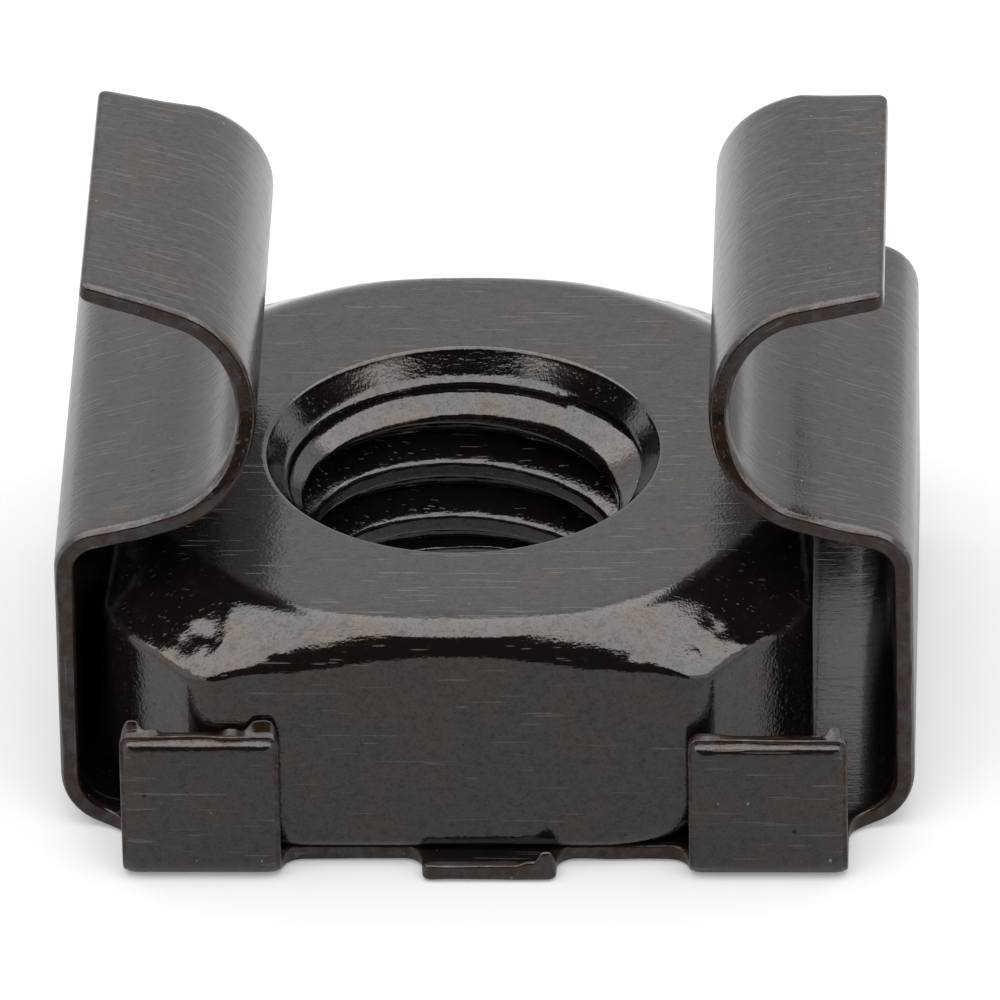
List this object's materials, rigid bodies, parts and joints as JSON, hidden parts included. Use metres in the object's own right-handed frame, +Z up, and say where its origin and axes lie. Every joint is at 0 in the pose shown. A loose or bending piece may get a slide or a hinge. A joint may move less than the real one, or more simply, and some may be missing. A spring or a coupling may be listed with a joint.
{
  "type": "rack cage nut",
  "caption": "Square threaded nut held loose in a folded spring-sheet cage whose two curled ears clip into the square hole of a rack rail.",
  "frame": {"origin": "middle of the bounding box on the plane the base stands on", "axes": "+Z up along the thread's axis, from the base towards the ears; +X across the cage from one curled ear to the other; +Y from the front pair of tabs to the rear pair"},
  "size_m": [0.0136, 0.0122, 0.0092],
  "materials": {
    "cage_steel": "glossy black coating on spring steel, scratched and worn at its cut edges",
    "nut_steel": "glossy black coating on forged steel"
  },
  "bodies": {
    "root": {"cage": "cage_steel", "nut": "nut_steel"}
  },
  "joints": []
}
